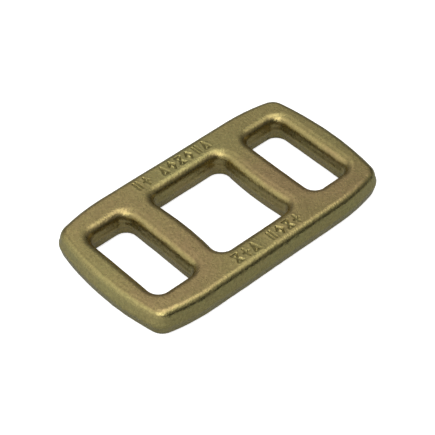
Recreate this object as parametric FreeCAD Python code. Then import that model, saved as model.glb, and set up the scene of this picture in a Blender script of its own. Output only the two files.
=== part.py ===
import FreeCAD, Part
import math
import os

from FreeCAD import Vector

# One-way lashing ("ladder") buckle, drop-forged in steel as a single piece.
#
# Two side rails run along X. Two end bars and two cross bars join them, and leave an
# opening in the middle and a webbing slot at each end. The forging was pressed between two
# dies that met at mid thickness, so every wall leans back from that parting plane. The
# flash outside and the webs in the openings were sheared off there, which leaves a low
# land all round. The forging rests on its lower face at z = 0, centred on X and Y.

# Driving dimensions, in millimetres and degrees.
webbing_width = 35.0
webbing_side_play = 0.9
overall_length = 112.8
thickness = 11.5
rail_width = 12.85
end_bar_width = 10.5
end_slot_length = 17.3
cross_bar_width = 11.5

# Plan shape: the rails taper in a wide arc towards the ends, and the end bars bow outward.
rail_straight_half_length = 30.2
rail_taper_radius = 78.0
end_bow_radius = 119.0
outer_corner_radius = 6.8
opening_corner_radius = 3.7
cross_bar_crown = 1.34

# Section: draft and edge rounding of the upper and the lower die.
outer_draft = 13.0
opening_draft = 10.0
top_outer_fillet = 3.0
top_rim_fillet = 3.7
bottom_outer_fillet = 2.7
bottom_rim_fillet = 2.6
land_height = 1.1
land_proud = 0.08

# Rating marks struck into the upper face of the rails.
mark_height = 4.6
mark_width = 3.0
mark_pitch = 4.05
mark_stroke = 0.8
mark_depth = 0.5
mark_row_y = 25.0
mark_row_x = -0.9

# Worked out from the driving dimensions.
half_length = overall_length / 2
slot_half_width = webbing_width / 2 + webbing_side_play
half_width = slot_half_width + rail_width
end_slot_half_length = end_slot_length / 2
end_slot_x = half_length - end_bar_width - end_slot_half_length
middle_half_length = end_slot_x - end_slot_half_length - cross_bar_width
parting_z = thickness / 2
die_depth = (thickness - land_height) / 2
land_top_z = parting_z + land_height / 2
land_bottom_z = parting_z - land_height / 2

# Used only to tell the edges of the openings from the outer ones.
same_place = 0.001
same_edge = 0.01
clear_of_outer_edge = 0.5


def circle_crossing(centre_a, radius_a, centre_b, radius_b):
    """The crossing of two circles that lies to the left of the way from a to b."""
    way = centre_b - centre_a
    gap = way.Length
    along = (gap ** 2 + radius_a ** 2 - radius_b ** 2) / (2 * gap)
    across = math.sqrt(radius_a ** 2 - along ** 2)
    unit = way / gap
    left = Vector(-unit.y, unit.x, 0)
    return centre_a + unit * along + left * across


def point_towards(centre, target, radius):
    """The point of a circle that faces the target."""
    return centre + (target - centre).normalize() * radius


def arc(centre, radius, start, end):
    """The shorter arc of a circle between two of its points."""
    middle = point_towards(centre, (start + end) / 2, radius)
    return Part.Arc(start, middle, end).toShape()


def mirrored_loop(quarter, z):
    """A closed wire from the edges of its +X +Y quarter, mirrored in X and in Y."""
    origin = Vector(0, 0, 0)
    half = quarter + [edge.mirror(origin, Vector(1, 0, 0)) for edge in quarter]
    whole = half + [edge.mirror(origin, Vector(0, 1, 0)) for edge in half]
    wire = Part.Wire(Part.__sortEdges__(whole))
    wire.translate(Vector(0, 0, z))
    return wire


def frame_outline(inset, z):
    """The outside of the frame, moved inward by inset."""
    taper_radius = rail_taper_radius - inset
    bow_radius = end_bow_radius - inset
    corner_radius = outer_corner_radius - inset
    edge_y = half_width - inset
    edge_x = half_length - inset
    taper_centre = Vector(rail_straight_half_length, half_width - rail_taper_radius, 0)
    bow_centre = Vector(half_length - end_bow_radius, 0, 0)
    corner = circle_crossing(
        bow_centre, bow_radius - corner_radius, taper_centre, taper_radius - corner_radius
    )
    rail_end = Vector(rail_straight_half_length, edge_y, 0)
    corner_start = point_towards(taper_centre, corner, taper_radius)
    corner_end = point_towards(bow_centre, corner, bow_radius)
    quarter = [
        Part.LineSegment(Vector(0, edge_y, 0), rail_end).toShape(),
        arc(taper_centre, taper_radius, rail_end, corner_start),
        arc(corner, corner_radius, corner_start, corner_end),
        arc(bow_centre, bow_radius, corner_end, Vector(edge_x, 0, 0)),
    ]
    return mirrored_loop(quarter, z)


def middle_outline(outset, z):
    """The middle opening, widened by outset; its cross bars are crowned towards it."""
    crown_radius = (slot_half_width ** 2 + cross_bar_crown ** 2) / (2 * cross_bar_crown)
    crown_centre = Vector(middle_half_length - cross_bar_crown + crown_radius, 0, 0)
    corner_y = slot_half_width - opening_corner_radius
    reach = crown_radius + opening_corner_radius
    corner = Vector(crown_centre.x - math.sqrt(reach ** 2 - corner_y ** 2), corner_y, 0)
    radius = opening_corner_radius + outset
    edge_y = slot_half_width + outset
    corner_start = Vector(corner.x, edge_y, 0)
    corner_end = point_towards(corner, crown_centre, radius)
    bar_middle = Vector(crown_centre.x - crown_radius + outset, 0, 0)
    quarter = [
        Part.LineSegment(Vector(0, edge_y, 0), corner_start).toShape(),
        arc(corner, radius, corner_start, corner_end),
        arc(crown_centre, crown_radius - outset, corner_end, bar_middle),
    ]
    return mirrored_loop(quarter, z)


def end_slot_outline(outset, z, slot_x):
    """A webbing slot with straight sides, widened by outset, centred at slot_x."""
    corner_y = slot_half_width - opening_corner_radius
    corner = Vector(end_slot_half_length - opening_corner_radius, corner_y, 0)
    radius = opening_corner_radius + outset
    edge_x = end_slot_half_length + outset
    edge_y = slot_half_width + outset
    corner_start = Vector(corner.x, edge_y, 0)
    corner_end = Vector(edge_x, corner.y, 0)
    quarter = [
        Part.LineSegment(Vector(0, edge_y, 0), corner_start).toShape(),
        arc(corner, radius, corner_start, corner_end),
        Part.LineSegment(corner_end, Vector(edge_x, 0, 0)).toShape(),
    ]
    wire = mirrored_loop(quarter, z)
    wire.translate(Vector(slot_x, 0, 0))
    return wire


def openings():
    """One outline function of (outset, z) for each of the three openings."""
    return [
        middle_outline,
        lambda outset, z: end_slot_outline(outset, z, -end_slot_x),
        lambda outset, z: end_slot_outline(outset, z, end_slot_x),
    ]


def lofted(outline, near_offset, near_z, far_offset, far_z):
    """A solid between one outline at two offsets and heights."""
    return Part.makeLoft([outline(near_offset, near_z), outline(far_offset, far_z)], True, True)


def die_half(land_z, face_z, outer_fillet, rim_fillet):
    """What one die formed: from the land's edge to the face, with rounded edges."""
    lean_out = die_depth * math.tan(math.radians(outer_draft))
    lean_in = die_depth * math.tan(math.radians(opening_draft))
    half = lofted(frame_outline, land_proud, land_z, land_proud + lean_out, face_z)
    for opening in openings():
        half = half.cut(lofted(opening, land_proud, land_z, land_proud + lean_in, face_z))
    outer_edges = []
    rim_edges = []
    inside = Part.Face(frame_outline(land_proud + lean_out + clear_of_outer_edge, face_z))
    for edge in half.Edges:
        box = edge.BoundBox
        if max(abs(box.ZMin - face_z), abs(box.ZMax - face_z)) > same_place:
            continue
        middle = edge.valueAt((edge.FirstParameter + edge.LastParameter) / 2)
        if inside.isInside(middle, same_place, True):
            rim_edges.append(edge)
        else:
            outer_edges.append(edge)
    half = half.makeFillet(outer_fillet, outer_edges)
    rim_middles = [edge.CenterOfMass for edge in rim_edges]
    rims = [
        edge
        for edge in half.Edges
        if any(edge.CenterOfMass.isEqual(middle, same_edge) for middle in rim_middles)
    ]
    return half.makeFillet(rim_fillet, rims)


def land():
    """The sheared land at the parting plane, outside and round the openings."""
    slab = Part.Face(frame_outline(0, land_bottom_z)).extrude(Vector(0, 0, land_height))
    for opening in openings():
        slab = slab.cut(Part.Face(opening(0, land_bottom_z)).extrude(Vector(0, 0, land_height)))
    return slab


def stroke(start, end):
    """A cutter for one straight struck line between two points of the upper face."""
    way = end - start
    box = Part.makeBox(way.Length + mark_stroke, mark_stroke, 2 * mark_depth)
    box.translate(Vector(-mark_stroke / 2, -mark_stroke / 2, -mark_depth))
    box.rotate(Vector(0, 0, 0), Vector(0, 0, 1), math.degrees(math.atan2(way.y, way.x)))
    box.translate(Vector(start.x, start.y, thickness))
    return box


# The marks are plain figures, each a list of strokes (u, v, u, v) in a cell of -0.5 to 0.5.
twin_bars = [(-0.3, -0.5, -0.3, 0.5), (0.3, -0.5, 0.3, 0.5)]
cross = [(-0.5, 0, 0.5, 0), (0, -0.5, 0, 0.5)]
diamond = [(-0.5, 0, 0, 0.5), (0, 0.5, 0.5, 0), (0.5, 0, 0, -0.5), (0, -0.5, -0.5, 0)]
triangle = [(-0.5, -0.5, 0.5, -0.5), (0.5, -0.5, 0, 0.5), (0, 0.5, -0.5, -0.5)]
hourglass = [
    (-0.5, 0.5, 0.5, 0.5),
    (0.5, 0.5, -0.5, -0.5),
    (-0.5, -0.5, 0.5, -0.5),
    (0.5, -0.5, -0.5, 0.5),
]
blank = []
far_row = [twin_bars, cross, blank, triangle, diamond, hourglass, diamond, twin_bars, triangle]
near_row = [hourglass, cross, triangle, blank, twin_bars, diamond, hourglass, cross]


def mark_row(row, row_y):
    """The cutters of one row of marks, read along +X."""
    cell_width = mark_width - mark_stroke
    cell_height = mark_height - mark_stroke
    cutters = []
    for place, figure in enumerate(row):
        cell_x = mark_row_x + (place - (len(row) - 1) / 2) * mark_pitch
        for start_u, start_v, end_u, end_v in figure:
            start = Vector(cell_x + start_u * cell_width, row_y + start_v * cell_height, 0)
            end = Vector(cell_x + end_u * cell_width, row_y + end_v * cell_height, 0)
            cutters.append(stroke(start, end))
    return cutters


def buckle_frame():
    """The whole forging, with the marks struck into its upper face."""
    upper = die_half(land_top_z, thickness, top_outer_fillet, top_rim_fillet)
    lower = die_half(land_bottom_z, 0, bottom_outer_fillet, bottom_rim_fillet)
    forging = upper.fuse([land(), lower]).removeSplitter()
    marks = mark_row(far_row, mark_row_y) + mark_row(near_row, -mark_row_y)
    return forging.cut(marks)


os.makedirs("parts", exist_ok=True)
frame = buckle_frame()
box = frame.BoundBox
print("solids", len(frame.Solids), "valid", frame.isValid(), "volume_mm3", round(frame.Volume))
print("size_mm", round(box.XLength, 2), round(box.YLength, 2), round(box.ZLength, 2))
frame.Solids[0].exportStep("parts/buckle_frame.step")
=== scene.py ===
import math

import bmesh
import bpy
import numpy as np
from mathutils import Matrix, Vector, noise
from mathutils.geometry import delaunay_2d_cdt


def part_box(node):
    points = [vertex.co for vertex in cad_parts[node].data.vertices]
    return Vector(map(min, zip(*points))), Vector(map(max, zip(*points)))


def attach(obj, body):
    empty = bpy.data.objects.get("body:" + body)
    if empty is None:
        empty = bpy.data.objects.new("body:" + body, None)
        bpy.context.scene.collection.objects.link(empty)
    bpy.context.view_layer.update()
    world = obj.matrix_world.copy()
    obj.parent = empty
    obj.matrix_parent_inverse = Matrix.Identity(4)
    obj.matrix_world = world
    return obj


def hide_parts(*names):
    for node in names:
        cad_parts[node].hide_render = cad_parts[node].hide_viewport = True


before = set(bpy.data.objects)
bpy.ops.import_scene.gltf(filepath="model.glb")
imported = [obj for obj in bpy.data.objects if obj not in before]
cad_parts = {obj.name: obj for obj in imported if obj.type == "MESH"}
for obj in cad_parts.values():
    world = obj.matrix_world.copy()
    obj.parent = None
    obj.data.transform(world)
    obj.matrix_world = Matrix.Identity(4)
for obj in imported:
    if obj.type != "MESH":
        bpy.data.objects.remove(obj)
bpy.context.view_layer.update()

# A one-piece, drop-forged steel lashing buckle with yellow-passivated zinc plating.
# Sizes are in millimetres and become metres when a mesh is made.
MM = 0.001
HALF_LENGTH, HALF_WIDTH, THICKNESS = np.array(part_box("buckle_frame")[1]) / MM

# Plan shape
SLOT_HALF_WIDTH = 18.4
END_BAR_WIDTH = 10.5
END_SLOT_LENGTH = 17.3
CROSS_BAR_WIDTH = 11.5
RAIL_STRAIGHT_HALF_LENGTH = 30.2
RAIL_TAPER_RADIUS = 78.0
END_BOW_RADIUS = 119.0
OUTER_CORNER_RADIUS = 6.8
OPENING_CORNER_RADIUS = 3.7
CROSS_BAR_CROWN = 1.34
END_SLOT_HALF = END_SLOT_LENGTH / 2
END_SLOT_X = HALF_LENGTH - END_BAR_WIDTH - END_SLOT_HALF
MIDDLE_HALF = END_SLOT_X - END_SLOT_HALF - CROSS_BAR_WIDTH

# How finely the mesh is divided
LOOP_SPACING = 0.4
FACE_SPACING = 0.85
MARK_SPACING = 0.17
FILLET_STEPS = 13
WALL_STEPS = 4
LEAST_LINE_STEPS = 2
LEAST_ARC_STEPS = 10


# ---------------------------------------------------------------- outlines
def line(start, end, out=1):
    """A straight stretch; out is +1 where the steel lies to the right of the way, else -1."""
    return ("line", np.array(start, float), np.array(end, float), out)


def arc(centre, radius, start_deg, end_deg, out=1):
    """An arc; out is +1 where the steel lies inside the arc, -1 where it lies outside."""
    return ("arc", np.array(centre, float), radius, start_deg, end_deg, out)


def bearing(centre, target):
    """Degrees from +X, counter-clockwise, of the way from a centre to a target."""
    return math.degrees(math.atan2(target[1] - centre[1], target[0] - centre[0]))


def sampled(piece, spacing):
    """Points along a piece of outline with the normals that point out of the steel."""
    if piece[0] == "line":
        start, end, out = piece[1:]
        length = np.linalg.norm(end - start)
        steps = max(LEAST_LINE_STEPS, round(length / spacing))
        along = np.linspace(0, 1, steps + 1)[:, None]
        way = (end - start) / length
        normal = np.array([-way[1], way[0]]) * out
        return start + (end - start) * along, np.repeat(normal[None], steps + 1, 0)
    centre, radius, start_deg, end_deg, out = piece[1:]
    length = abs(math.radians(end_deg - start_deg)) * radius
    steps = max(LEAST_ARC_STEPS, round(length / spacing))
    turn = np.radians(np.linspace(start_deg, end_deg, steps + 1))
    radial = np.stack([np.cos(turn), np.sin(turn)], 1)
    return centre + radius * radial, radial * out


def closed_loop(quarter, spacing, shift_x=0.0):
    """The whole outline, clockwise, from its +X +Y quarter, which runs from the Y axis to X."""
    points, normals = [], []
    for piece in quarter:
        piece_points, piece_normals = sampled(piece, spacing)
        points.append(piece_points[:-1])
        normals.append(piece_normals[:-1])
    points.append(piece_points[-1:])
    normals.append(piece_normals[-1:])
    points, normals = np.concatenate(points), np.concatenate(normals)
    loop_points, loop_normals = [], []
    for flip_x, flip_y in ((1, 1), (1, -1), (-1, -1), (-1, 1)):
        step = 1 if flip_x * flip_y > 0 else -1
        loop_points.append((points * (flip_x, flip_y))[::step][:-1])
        loop_normals.append((normals * (flip_x, flip_y))[::step][:-1])
    return np.concatenate(loop_points) + (shift_x, 0), np.concatenate(loop_normals)


def outer_loop():
    """The outside: straight rails that taper in a wide arc, round corners and bowed ends."""
    taper_centre = np.array([RAIL_STRAIGHT_HALF_LENGTH, HALF_WIDTH - RAIL_TAPER_RADIUS])
    bow_centre = np.array([HALF_LENGTH - END_BOW_RADIUS, 0.0])
    taper_reach = RAIL_TAPER_RADIUS - OUTER_CORNER_RADIUS
    bow_reach = END_BOW_RADIUS - OUTER_CORNER_RADIUS
    way = taper_centre - bow_centre
    gap = np.linalg.norm(way)
    along = (gap ** 2 + bow_reach ** 2 - taper_reach ** 2) / (2 * gap)
    across = math.sqrt(bow_reach ** 2 - along ** 2)
    corner = bow_centre + (way * along + np.array([-way[1], way[0]]) * across) / gap
    taper_end = bearing(taper_centre, corner)
    bow_start = bearing(bow_centre, corner)
    quarter = [
        line((0, HALF_WIDTH), (RAIL_STRAIGHT_HALF_LENGTH, HALF_WIDTH)),
        arc(taper_centre, RAIL_TAPER_RADIUS, 90, taper_end),
        arc(corner, OUTER_CORNER_RADIUS, taper_end, bow_start),
        arc(bow_centre, END_BOW_RADIUS, bow_start, 0),
    ]
    return closed_loop(quarter, LOOP_SPACING)


def middle_loop():
    """The middle opening, with cross bars that are crowned towards it."""
    crown_radius = (SLOT_HALF_WIDTH ** 2 + CROSS_BAR_CROWN ** 2) / (2 * CROSS_BAR_CROWN)
    crown_centre = np.array([MIDDLE_HALF - CROSS_BAR_CROWN + crown_radius, 0.0])
    corner_y = SLOT_HALF_WIDTH - OPENING_CORNER_RADIUS
    reach = crown_radius + OPENING_CORNER_RADIUS
    corner = np.array([crown_centre[0] - math.sqrt(reach ** 2 - corner_y ** 2), corner_y])
    corner_end = bearing(corner, crown_centre)
    quarter = [
        line((0, SLOT_HALF_WIDTH), (corner[0], SLOT_HALF_WIDTH), -1),
        arc(corner, OPENING_CORNER_RADIUS, 90, corner_end, -1),
        arc(crown_centre, crown_radius, corner_end + 180, 180, 1),
    ]
    return closed_loop(quarter, LOOP_SPACING)


def end_slot_loop(slot_x):
    """A webbing slot with straight sides, centred at slot_x."""
    corner = (END_SLOT_HALF - OPENING_CORNER_RADIUS, SLOT_HALF_WIDTH - OPENING_CORNER_RADIUS)
    quarter = [
        line((0, SLOT_HALF_WIDTH), (corner[0], SLOT_HALF_WIDTH), -1),
        arc(corner, OPENING_CORNER_RADIUS, 90, 0, -1),
        line((END_SLOT_HALF, corner[1]), (END_SLOT_HALF, 0), -1),
    ]
    return closed_loop(quarter, LOOP_SPACING, slot_x)


# ---------------------------------------------------------------- section
# The walls round the outside and round the openings: the height of the sheared land at mid
# thickness, how proud it stands, the draft in degrees, and the radii of the rounded edges
OUTER = {"land": 1.1, "proud": 0.08, "draft": 13.0, "upper_fillet": 3.0, "lower_fillet": 2.7}
RIM = {"land": 1.1, "proud": 0.08, "draft": 10.0, "upper_fillet": 3.7, "lower_fillet": 2.6}

# The land's edge isn't sharp. Heights are measured from that edge, and insets from the face of
# the land or, where the wall starts, from the foot of the wall.
LAND_FACE = (0.01, -0.20)
LAND_EDGE_HEIGHT = 0.10
WALL_START = (0.10, 0.55)


def half_section(land, proud, draft_deg, radius):
    """(inset, height above mid plane) from the middle of the land up to the flat face."""
    draft = math.radians(draft_deg)
    half = THICKNESS / 2
    centre_z = half - radius
    wall_at_centre = proud + (centre_z - land / 2) * math.tan(draft)
    centre_inset = wall_at_centre + radius / math.cos(draft)
    turn = np.linspace(draft, math.pi / 2, FILLET_STEPS + 1)
    fillet = np.stack([centre_inset - radius * np.cos(turn), centre_z + radius * np.sin(turn)], 1)
    wall_start = np.array([proud + WALL_START[0], land / 2 + WALL_START[1]])
    wall = wall_start + (fillet[0] - wall_start) * np.linspace(0, 1, WALL_STEPS + 1)[:-1, None]
    land_face = [LAND_FACE[0], land / 2 + LAND_FACE[1]]
    land_edge = [proud / 2, land / 2 + LAND_EDGE_HEIGHT]
    return np.concatenate([np.array([[0.0, 0.0], land_face, land_edge]), wall, fillet])


def section(sizes):
    """(inset, z) down a whole wall, from the upper face to the lower one."""
    upper = half_section(sizes["land"], sizes["proud"], sizes["draft"], sizes["upper_fillet"])
    lower = half_section(sizes["land"], sizes["proud"], sizes["draft"], sizes["lower_fillet"])
    insets = np.concatenate([upper[::-1, 0], lower[1:, 0]])
    heights = np.concatenate([upper[::-1, 1], -lower[1:, 1]]) + THICKNESS / 2
    return insets, heights


# ---------------------------------------------------------------- struck marks
MARK_HEIGHT = 4.6
MARK_WIDTH = 3.0
MARK_PITCH = 4.05
MARK_STROKE = 0.8
MARK_DEPTH = 0.5
MARK_ROW_X = -0.9
MARK_ROW_Y = 25.0

# Plain figures, each a list of strokes (u, v, u, v) in a cell of -0.5 to 0.5
twin_bars = [(-0.3, -0.5, -0.3, 0.5), (0.3, -0.5, 0.3, 0.5)]
cross = [(-0.5, 0, 0.5, 0), (0, -0.5, 0, 0.5)]
diamond = [(-0.5, 0, 0, 0.5), (0, 0.5, 0.5, 0), (0.5, 0, 0, -0.5), (0, -0.5, -0.5, 0)]
triangle = [(-0.5, -0.5, 0.5, -0.5), (0.5, -0.5, 0, 0.5), (0, 0.5, -0.5, -0.5)]
hourglass = [
    (-0.5, 0.5, 0.5, 0.5),
    (0.5, 0.5, -0.5, -0.5),
    (-0.5, -0.5, 0.5, -0.5),
    (0.5, -0.5, -0.5, 0.5),
]
blank = []
far_row = [twin_bars, cross, blank, triangle, diamond, hourglass, diamond, twin_bars, triangle]
near_row = [hourglass, cross, triangle, blank, twin_bars, diamond, hourglass, cross]


def strokes(row, row_y):
    """Start and end points of every struck line in a row of marks."""
    cell = np.array([MARK_WIDTH - MARK_STROKE, MARK_HEIGHT - MARK_STROKE])
    lines = []
    for place, figure in enumerate(row):
        centre = np.array([MARK_ROW_X + (place - (len(row) - 1) / 2) * MARK_PITCH, row_y])
        for stroke in figure:
            lines.append([centre + cell * stroke[:2], centre + cell * stroke[2:]])
    return np.array(lines)


MARK_LINES = np.concatenate([strokes(far_row, MARK_ROW_Y), strokes(near_row, -MARK_ROW_Y)])


def distance_to_marks(points):
    """Distance in plan from each point to the nearest struck line."""
    start, way = MARK_LINES[:, 0], MARK_LINES[:, 1] - MARK_LINES[:, 0]
    offset = points[:, None] - start
    along = np.clip((offset * way).sum(2) / (way ** 2).sum(1), 0, 1)
    return np.linalg.norm(offset - way * along[..., None], axis=2).min(1)


# ---------------------------------------------------------------- the forging's mesh
BLOCK = 2000            # points handled at once
MERGE_DISTANCE = 1e-6
WITHIN_EDGES = 1        # delaunay_2d_cdt: keep only the triangles inside the outlines
FINE_REACH = 0.8        # the fine grid reaches this far from a struck line
WIDE_CLEARANCE = 1.0    # and the wide grid stops this far from it


def smooth_step(low, high, value):
    """0 up to low, 1 from high on, and smooth in between."""
    share = np.clip((value - low) / (high - low), 0, 1)
    return share * share * (3 - 2 * share)


def depth_inside(points, edge_points, edge_normals):
    """How far each point lies inside the steel, measured from the nearest edge point."""
    depth = np.empty(len(points))
    for first in range(0, len(points), BLOCK):
        block = points[first:first + BLOCK]
        gaps = np.linalg.norm(block[:, None] - edge_points, axis=2)
        nearest = gaps.argmin(1)
        way = edge_points[nearest] - block
        depth[first:first + BLOCK] = (way * edge_normals[nearest]).sum(1)
    return depth


def face_points(edge_points, edge_normals, with_marks):
    """Points spread over a flat face: a wide grid, and a fine one round the struck marks."""
    def grid(half_x, low_y, high_y, spacing):
        xs = np.arange(-half_x, half_x, spacing)
        ys = np.arange(low_y, high_y, spacing * math.sqrt(3) / 2)
        x, y = np.meshgrid(xs, ys)
        x[1::2] += spacing / 2
        return np.stack([x.ravel(), y.ravel()], 1)

    points = grid(HALF_LENGTH, -HALF_WIDTH, HALF_WIDTH, FACE_SPACING)
    if with_marks:
        points = points[distance_to_marks(points) > WIDE_CLEARANCE]
        for side in (-1, 1):
            row_low = side * MARK_ROW_Y - MARK_HEIGHT
            fine = grid(HALF_LENGTH / 2, row_low, row_low + 2 * MARK_HEIGHT, MARK_SPACING)
            points = np.concatenate([points, fine[distance_to_marks(fine) < FINE_REACH]])
    return points[depth_inside(points, edge_points, edge_normals) > MARK_SPACING]


def wall_mesh(points, normals, sizes, first_id):
    """A wall's vertices and faces, and its end rings, each as ids, points and normals."""
    insets, heights = section(sizes)
    around = len(points)
    vertices, faces = [], []
    for ring, (inset, height) in enumerate(zip(insets, heights)):
        vertices.append(np.column_stack([points - normals * inset, np.full(around, height)]))
        if ring:
            here = first_id + ring * around + np.arange(around)
            above = here - around
            faces += np.stack([above, np.roll(above, -1), np.roll(here, -1), here], 1).tolist()
    upper = (first_id + np.arange(around), points - normals * insets[0], normals)
    lower = (here, points - normals * insets[-1], normals)
    return np.concatenate(vertices), faces, upper, lower


def flat_mesh(rings, height, first_id):
    """The vertices and triangles of a flat face between rings of ids, points and normals."""
    edge_ids, edge_points, edge_normals = [np.concatenate(parts) for parts in zip(*rings)]
    on_top = height > 0
    inner = face_points(edge_points, edge_normals, on_top)
    flat = np.concatenate([edge_points, inner])
    edges, first = [], 0
    for ids, _, _ in rings:
        along = first + np.arange(len(ids))
        edges += np.stack([along, np.roll(along, -1)], 1).tolist()
        first += len(ids)
    spots = [Vector(point) for point in flat]
    result = delaunay_2d_cdt(spots, edges, [], WITHIN_EDGES, MERGE_DISTANCE)
    new_points, triangles, origins = np.array(result[0]), np.array(result[2]), result[3]
    ids = np.empty(len(new_points), int)
    extra = []
    for place, source in enumerate(origins):
        if source and source[0] < len(edge_ids):
            ids[place] = edge_ids[source[0]]
        else:
            ids[place] = first_id + len(extra)
            extra.append((*new_points[place], height))
    centres = new_points[triangles].mean(1)
    triangles = triangles[depth_inside(centres, edge_points, edge_normals) > 0]
    order = [0, 1, 2] if on_top else [0, 2, 1]
    return np.array(extra), ids[triangles[:, order]].tolist()


def forging_mesh():
    """Vertices and faces of the forging, in millimetres, before any wear."""
    loops = [(*outer_loop(), OUTER)]
    for points, normals in (middle_loop(), end_slot_loop(-END_SLOT_X), end_slot_loop(END_SLOT_X)):
        loops.append((points[::-1], normals[::-1], RIM))
    vertices, faces, upper_rings, lower_rings = [], [], [], []
    count = 0
    for points, normals, sizes in loops:
        wall, wall_faces, upper, lower = wall_mesh(points, normals, sizes, count)
        vertices.append(wall)
        faces += wall_faces
        upper_rings.append(upper)
        lower_rings.append(lower)
        count += len(wall)
    for rings, height in ((upper_rings, THICKNESS), (lower_rings, 0.0)):
        extra, triangles = flat_mesh(rings, height, count)
        vertices.append(extra)
        faces += triangles
        count += len(extra)
    return np.concatenate(vertices), faces


# ---------------------------------------------------------------- wear, tint and painted shade
# Noise fields: strength in mm or as a share, size of the waves in mm, start, and octaves
SWAY = (0.07, 14.0, 1.3)
DENTS = (0.035, 4.5, 5.2)
GRAIN = (0.010, 1.1, 8.7, 3)
SCUFFS = (0.09, 1.2, 17.9, 2)
BURRS = (0.06, 1.6, 12.4)
MARK_UNEVENNESS = (0.25, 4.0, 3.1)
FLAT_TINT = (0.72, 30.0, 774.04)
WALL_TINT = (0.25, 9.0, 31.7)

# Wear, with lengths in millimetres
LEAST_SCUFF = 0.035
SCUFF_STRETCH = (0.45, 0.45, 1.4)    # scuffs are long and low
ROUGH_PATCHES = (22.0, 6.5)          # size and start of the noise that scuffs some walls more
ROUGH_PATCH_FADE = (-0.1, 0.4)       # levels of that noise
END_BURR = 0.25                      # the trimmed flash is more ragged at the -X end
END_FADE = (3.0, 8.0)                # from the -X end
BURR_SHARPNESS = 1.5
LAND_FADE = (0.7, 1.4)               # from the parting plane
MOST_PROUD = 0.3                     # past the ends
MARK_LIP_HEIGHT = 0.08
MARK_LIP_WIDTH = 0.22

# A struck line's section, out from its middle, as shares of the stroke's width
MARK_FLOOR_END = 0.25
MARK_SIDE_END = 0.62
MARK_LIP_MIDDLE = 0.88

# Tint and painted shade, as shares
MEAN_FLAT_TINT = 0.58
LEAST_FLAT_TINT = 0.1
OPENING_WALL_TINT = 0.56
OUTER_WALL_TINT = 0.20
# painted shade below the rims of the openings, and in the struck marks
PAINTED_SHADE_BELOW_RIM = 0.5
PAINTED_SHADE_IN_MARK = (0.1, 0.8)            # shares of a mark's depth

# How much of a normal points up or down, where walls, rims and flats fade into each other
WALL_ENDS = (0.35, 0.7)
RIM_STARTS = (0.12, 0.35)
RIM_ENDS = (0.50, 0.78)
FLAT_STARTS = (0.70, 0.98)


def waves(points, size, shift=0.0, octaves=1):
    """Smooth noise of about -1 to 1 at each point, with waves of the given size in mm."""
    offset = Vector((shift, shift * 0.7, -shift))
    if octaves == 1:
        return np.array([noise.noise(Vector(p) / size + offset) for p in points])
    return np.array([noise.fractal(Vector(p) / size + offset, 1.0, 2.0, octaves) for p in points])


def struck(points):
    """How deep the marks are at each point, with the lip of steel that the punch raised."""
    on_top = points[:, 2] > THICKNESS - MARK_DEPTH
    near = on_top & (np.abs(np.abs(points[:, 1]) - MARK_ROW_Y) < MARK_HEIGHT)
    near &= np.abs(points[:, 0]) < HALF_LENGTH / 2
    depth = np.zeros(len(points))
    away = distance_to_marks(points[near, :2])
    groove = 1 - smooth_step(MARK_STROKE * MARK_FLOOR_END, MARK_STROKE * MARK_SIDE_END, away)
    lip = np.exp(-((away - MARK_STROKE * MARK_LIP_MIDDLE) / MARK_LIP_WIDTH) ** 2)
    uneven = 1 + MARK_UNEVENNESS[0] * waves(points[near], *MARK_UNEVENNESS[1:])
    depth[near] = (MARK_DEPTH * groove - MARK_LIP_HEIGHT * lip) * uneven
    return depth


def worn(points, normals, depth):
    """The points of the forging moved by its marks and by the unevenness of forged steel."""
    sway = SWAY[0] * waves(points, *SWAY[1:]) + DENTS[0] * waves(points, *DENTS[1:])
    grain = GRAIN[0] * waves(points, *GRAIN[1:])
    at_land = 1 - smooth_step(*LAND_FADE, np.abs(points[:, 2] - THICKNESS / 2))
    at_end = 1 - smooth_step(*END_FADE, points[:, 0] + HALF_LENGTH)
    ragged = np.maximum(0, waves(points, *BURRS[1:])) ** BURR_SHARPNESS
    burr = (BURRS[0] + END_BURR * at_end) * at_land * ragged
    on_wall = 1 - smooth_step(*WALL_ENDS, np.abs(normals[:, 2]))
    rough_patch = smooth_step(*ROUGH_PATCH_FADE, waves(points, *ROUGH_PATCHES))
    scratches = waves(points * SCUFF_STRETCH, *SCUFFS[1:])
    scuff = (LEAST_SCUFF + SCUFFS[0] * rough_patch) * on_wall * scratches
    moved = points + normals * (sway + grain + burr + scuff)[:, None]
    moved[:, 2] = np.maximum(moved[:, 2] - depth, 0)
    moved[:, 0] = np.clip(moved[:, 0], -HALF_LENGTH - MOST_PROUD, HALF_LENGTH + MOST_PROUD)
    return moved


def in_openings(points):
    """Whether each point belongs to a wall or a rim of an opening."""
    in_length = np.abs(points[:, 0]) < HALF_LENGTH - END_BAR_WIDTH / 2
    in_width = np.abs(points[:, 1]) < (SLOT_HALF_WIDTH + HALF_WIDTH) / 2
    return in_length & in_width


def painted_shade(points, normals, depth):
    """Painted shade: darker in the struck marks, and below the rims of the openings, where it
    stands in for a dark reflection.
    """
    shade_in_mark = smooth_step(*PAINTED_SHADE_IN_MARK, depth / MARK_DEPTH)
    tilt = np.abs(normals[:, 2])
    shade_below_rim = smooth_step(*RIM_STARTS, tilt) * (1 - smooth_step(*RIM_ENDS, tilt))
    return np.maximum(shade_in_mark, PAINTED_SHADE_BELOW_RIM * shade_below_rim * in_openings(points))


def warmth(points, normals):
    """The tint by which way the surface faces, from 0, greenish on the outer walls, to 1, brownish
    on the flats.
    """
    flat = smooth_step(*FLAT_STARTS, np.abs(normals[:, 2]))
    patches = MEAN_FLAT_TINT + FLAT_TINT[0] * waves(points, *FLAT_TINT[1:])
    patches = np.clip(patches, LEAST_FLAT_TINT, 1)
    wall = np.where(in_openings(points), OPENING_WALL_TINT, OUTER_WALL_TINT)
    wall = wall + WALL_TINT[0] * waves(points, *WALL_TINT[1:])
    return flat * patches + (1 - flat) * wall


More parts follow.
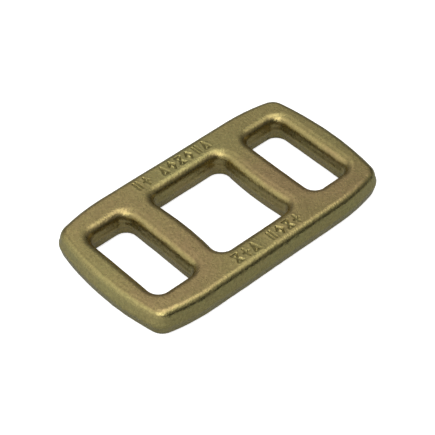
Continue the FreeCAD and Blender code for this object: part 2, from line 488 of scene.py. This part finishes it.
def make_forging():
    """The visual piece: the forging with its marks, its wear, and the values for its coat's tint
    and painted shade.
    """
    points, faces = forging_mesh()
    mesh = bpy.data.meshes.new("forged_buckle")
    mesh.from_pydata(points.tolist(), [], faces)
    mesh.update()
    normals = np.empty(len(points) * 3)
    mesh.vertex_normals.foreach_get("vector", normals)
    normals = normals.reshape(-1, 3)
    depth = struck(points)
    moved = worn(points, normals, depth)
    mesh.vertices.foreach_set("co", (moved * MM).ravel())
    # the painted shade is stored on the points for the material
    dark = mesh.attributes.new("painted_shade", "FLOAT", "POINT")
    dark.data.foreach_set("value", painted_shade(points, normals, depth))
    tint = mesh.attributes.new("warmth", "FLOAT", "POINT")
    tint.data.foreach_set("value", warmth(points, normals))
    mesh.shade_smooth()
    mesh.update()
    piece = bpy.data.objects.new("forged_buckle", mesh)
    bpy.context.scene.collection.objects.link(piece)
    return piece


# ---------------------------------------------------------------- material
# The coat's colour from its greenish to its brownish tint, and the olive of the painted shade
GREENISH = (0.425, 0.376, 0.150)
OLIVE = (0.448, 0.364, 0.147)
BROWNISH = (0.470, 0.341, 0.158)
PAINTED_SHADE_OLIVE = (0.25, 0.215, 0.085)

# Textures of the coat: scale per metre and detail
PATCHES = (420.0, 4.0)
SPECKS = (1100.0, 2.0)
GRAINS = (1500.0, 3.0)

PATCH_SHARE = 0.35                   # of the small patches in the tint
SPECK_SHADES = (0.85, 1.15)
ROUGHNESSES = (0.21, 0.34)
METAL_SHARE = 0.98
BUMP_HEIGHT = 0.00012


def node(tree, kind, **inputs):
    """A shader node with its constant inputs set; a link is given as an output socket."""
    made = tree.nodes.new(kind)
    for name, value in inputs.items():
        socket = made.inputs[name.replace("_", " ")]
        if isinstance(value, bpy.types.NodeSocket):
            tree.links.new(value, socket)
        else:
            socket.default_value = value
    return made


def ramp(tree, factor, *stops):
    """A colour ramp through the stops, each a place and a colour."""
    made = tree.nodes.new("ShaderNodeValToRGB")
    tree.links.new(factor, made.inputs["Fac"])
    while len(made.color_ramp.elements) < len(stops):
        made.color_ramp.elements.new(0.5)
    for element, (place, colour) in zip(made.color_ramp.elements, stops):
        element.position = place
        element.color = (*colour, 1)
    return made.outputs["Color"]


def attribute(tree, name):
    """The value that the mesh holds at each point under a name."""
    made = tree.nodes.new("ShaderNodeAttribute")
    made.attribute_name = name
    return made.outputs["Fac"]


def noise_texture(tree, place, scale, detail):
    made = node(tree, "ShaderNodeTexNoise", Vector=place, Scale=scale, Detail=detail)
    return made.outputs["Fac"]


def zinc_material():
    """Steel under a yellow-passivated zinc coat, with a different tint on flats and walls, and
    painted shade in the marks and below the rims of the openings.
    """
    material = bpy.data.materials.new("yellow_zinc")
    material.use_nodes = True
    tree = material.node_tree
    tree.nodes.clear()
    place = tree.nodes.new("ShaderNodeTexCoord").outputs["Object"]
    patch = noise_texture(tree, place, *PATCHES)
    grain = noise_texture(tree, place, *GRAINS)
    speck = noise_texture(tree, place, *SPECKS)

    tint = node(tree, "ShaderNodeMix", Factor=PATCH_SHARE)
    tree.links.new(attribute(tree, "warmth"), tint.inputs[2])
    tree.links.new(patch, tint.inputs[3])
    olive = ramp(tree, tint.outputs[0], (0.2, GREENISH), (0.5, OLIVE), (0.8, BROWNISH))
    shade = node(tree, "ShaderNodeMapRange", Value=speck, From_Min=0.3, From_Max=0.7)
    shade.inputs["To Min"].default_value = SPECK_SHADES[0]
    shade.inputs["To Max"].default_value = SPECK_SHADES[1]
    flecked = node(tree, "ShaderNodeVectorMath")
    flecked.operation = "SCALE"
    tree.links.new(olive, flecked.inputs[0])
    tree.links.new(shade.outputs["Result"], flecked.inputs["Scale"])
    # painted shade: the coat's colour is darkened towards olive in the marks and below the rims
    coat = node(tree, "ShaderNodeMix")
    coat.data_type = "RGBA"
    tree.links.new(attribute(tree, "painted_shade"), coat.inputs["Factor"])
    tree.links.new(flecked.outputs[0], coat.inputs[6])
    coat.inputs[7].default_value = (*PAINTED_SHADE_OLIVE, 1)

    rough = node(tree, "ShaderNodeMapRange", Value=patch)
    rough.inputs["To Min"].default_value = ROUGHNESSES[0]
    rough.inputs["To Max"].default_value = ROUGHNESSES[1]
    shell = node(tree, "ShaderNodeBsdfPrincipled", Base_Color=coat.outputs[2])
    shell.inputs["Metallic"].default_value = METAL_SHARE
    tree.links.new(rough.outputs["Result"], shell.inputs["Roughness"])
    bump = node(tree, "ShaderNodeBump", Height=grain, Strength=1.0, Distance=BUMP_HEIGHT)
    tree.links.new(bump.outputs["Normal"], shell.inputs["Normal"])
    out = tree.nodes.new("ShaderNodeOutputMaterial")
    tree.links.new(shell.outputs["BSDF"], out.inputs["Surface"])
    return material


# ---------------------------------------------------------------- studio
# The camera and what it stands over, in metres and degrees; its lens in millimetres
CAMERA_AZIMUTH = -42.6
CAMERA_ELEVATION = 45.0
CAMERA_DISTANCE = 0.594
CAMERA_SLIDE = (-0.0011, -0.0023)
FOCAL_LENGTH = 137.4
TARGET_HEIGHT = 0.00575
SHEET_REACH = 3.0
WALL_RADIUS = SHEET_REACH * 0.95
TABLE_DROP = 0.0002
PAPER_WHITE = (0.86, 0.86, 0.86)
PAPER_ROUGHNESS = 0.9
PAPER_GLOW = 0.75
TABLE_GREY = (0.42, 0.44, 0.45)
# painted light: the table glows towards the -X end, a pool of light painted into it
TABLE_GLOW = 0.45
TABLE_GLOW_STARTS = -0.055           # along X, and it is full from the next value on
TABLE_GLOW_FULL = -0.11

# Patches of light: azimuth from +X and height in degrees, core and edge angles, strength
GLOWS = [
    (266, 88, 25, 80, 0.385),
    (315, 78, 6, 33, 1.40),
    (187, 10, 14, 54, 0.48),
    (75, 0, 15, 74, 0.19),
    (142, 32, 12, 38, 0.68),
    (66, 46, 3, 20, 0.40),
    (218, 46, 7, 29, 2.35),
    (340, 14, 3, 27, 0.13),
]


def add_camera():
    """The photo's view: from the front left, halfway up, through a long lens."""
    azimuth, elevation = math.radians(CAMERA_AZIMUTH), math.radians(CAMERA_ELEVATION)
    back = Vector((
        math.sin(azimuth) * math.cos(elevation),
        -math.cos(azimuth) * math.cos(elevation),
        math.sin(elevation),
    ))
    right = Vector((math.cos(azimuth), math.sin(azimuth), 0))
    up = back.cross(right)
    data = bpy.data.cameras.new("camera")
    data.lens = FOCAL_LENGTH
    camera = bpy.data.objects.new("camera", data)
    target = Vector((0, 0, TARGET_HEIGHT))
    place = target + back * CAMERA_DISTANCE + right * CAMERA_SLIDE[0] + up * CAMERA_SLIDE[1]
    turn = Matrix((right, up, back)).transposed().to_4x4()
    camera.matrix_world = Matrix.Translation(place) @ turn
    bpy.context.scene.collection.objects.link(camera)
    bpy.context.scene.camera = camera


def matt_paper(name, colour, glow_strength):
    """A matt material that can glow white."""
    material = bpy.data.materials.new(name)
    material.use_nodes = True
    shader = material.node_tree.nodes["Principled BSDF"]
    shader.inputs["Base Color"].default_value = (*colour, 1)
    shader.inputs["Roughness"].default_value = PAPER_ROUGHNESS
    shader.inputs["Emission Color"].default_value = (1, 1, 1, 1)
    shader.inputs["Emission Strength"].default_value = glow_strength
    return material


def add_stage(mesh, name, material, camera_only):
    """A part of the studio, which the steel reflects only where camera_only is false."""
    mesh.materials.append(material)
    piece = bpy.data.objects.new(name, mesh)
    if camera_only:
        piece.visible_glossy = False
        piece.visible_diffuse = False
        piece.visible_shadow = False
    bpy.context.scene.collection.objects.link(piece)
    return piece


def sheet(name, height):
    """A level square, wide enough to fill the view."""
    mesh = bpy.data.meshes.new(name)
    corners = [(-SHEET_REACH, -SHEET_REACH), (SHEET_REACH, -SHEET_REACH)]
    corners += [(SHEET_REACH, SHEET_REACH), (-SHEET_REACH, SHEET_REACH)]
    mesh.from_pydata([(x, y, height) for x, y in corners], [], [(0, 1, 2, 3)])
    return mesh


def add_floor():
    """White paper and a pale wall that only the camera sees, over a table the steel reflects.

    The table is grey, and glows brighter on the left: a painted pool of light where the low light
    would fall.
    """
    paper = matt_paper("white_paper", PAPER_WHITE, PAPER_GLOW)
    add_stage(sheet("paper", 0.0), "paper", paper, True)
    wall = bpy.data.meshes.new("wall")
    round_wall = bmesh.new()
    bmesh.ops.create_cone(
        round_wall, segments=64, radius1=WALL_RADIUS, radius2=WALL_RADIUS, depth=SHEET_REACH * 2
    )
    round_wall.to_mesh(wall)
    round_wall.free()
    add_stage(wall, "wall", matt_paper("pale_wall", PAPER_WHITE, PAPER_GLOW), True)
    table_material = matt_paper("grey_table", TABLE_GREY, 0.0)
    add_stage(sheet("table", -TABLE_DROP), "table", table_material, False)
    tree = table_material.node_tree
    place = tree.nodes.new("ShaderNodeTexCoord").outputs["Object"]
    across = node(tree, "ShaderNodeSeparateXYZ", Vector=place).outputs["X"]
    # painted light: the glow rises towards the -X end
    painted_light_pool = node(tree, "ShaderNodeMapRange", Value=across, To_Max=TABLE_GLOW)
    painted_light_pool.inputs["From Min"].default_value = TABLE_GLOW_STARTS
    painted_light_pool.inputs["From Max"].default_value = TABLE_GLOW_FULL
    tree.links.new(painted_light_pool.outputs["Result"], tree.nodes["Principled BSDF"].inputs["Emission Strength"])


def bearing_and_height(azimuth_deg, height_deg):
    """The unit vector at an azimuth from +X, counter-clockwise, and a height above the horizon."""
    azimuth, height = math.radians(azimuth_deg), math.radians(height_deg)
    level = math.cos(height)
    return (math.cos(azimuth) * level, math.sin(azimuth) * level, math.sin(height))


def glow(tree, way, azimuth_deg, height_deg, core_deg, edge_deg, strength):
    """A round patch of light in the dome: full inside core_deg of its centre, gone at edge_deg."""
    facing = tree.nodes.new("ShaderNodeVectorMath")
    facing.operation = "DOT_PRODUCT"
    tree.links.new(way, facing.inputs[0])
    facing.inputs[1].default_value = bearing_and_height(azimuth_deg, height_deg)
    patch = node(tree, "ShaderNodeMapRange", Value=facing.outputs["Value"], To_Max=strength)
    patch.interpolation_type = "SMOOTHSTEP"
    patch.inputs["From Min"].default_value = math.cos(math.radians(edge_deg))
    patch.inputs["From Max"].default_value = math.cos(math.radians(core_deg))
    return patch.outputs["Result"]


def added(tree, first, second):
    both = tree.nodes.new("ShaderNodeMath")
    tree.links.new(first, both.inputs[0])
    tree.links.new(second, both.inputs[1])
    return both.outputs[0]


def add_world():
    """A soft dome of light: dim all over, with the patches of GLOWS added up."""
    world = bpy.data.worlds.new("studio")
    bpy.context.scene.world = world
    world.use_nodes = True
    tree = world.node_tree
    tree.nodes.clear()
    way = tree.nodes.new("ShaderNodeTexCoord").outputs["Generated"]
    total = glow(tree, way, *GLOWS[0])
    for patch in GLOWS[1:]:
        total = added(tree, total, glow(tree, way, *patch))
    sky = node(tree, "ShaderNodeBackground", Color=(1, 1, 1, 1), Strength=total)
    out = tree.nodes.new("ShaderNodeOutputWorld")
    tree.links.new(sky.outputs["Background"], out.inputs["Surface"])


forging = make_forging()
forging.data.materials.append(zinc_material())
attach(forging, "root")
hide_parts("buckle_frame")

add_floor()
add_world()
add_camera()
bpy.context.scene.view_settings.view_transform = "Standard"
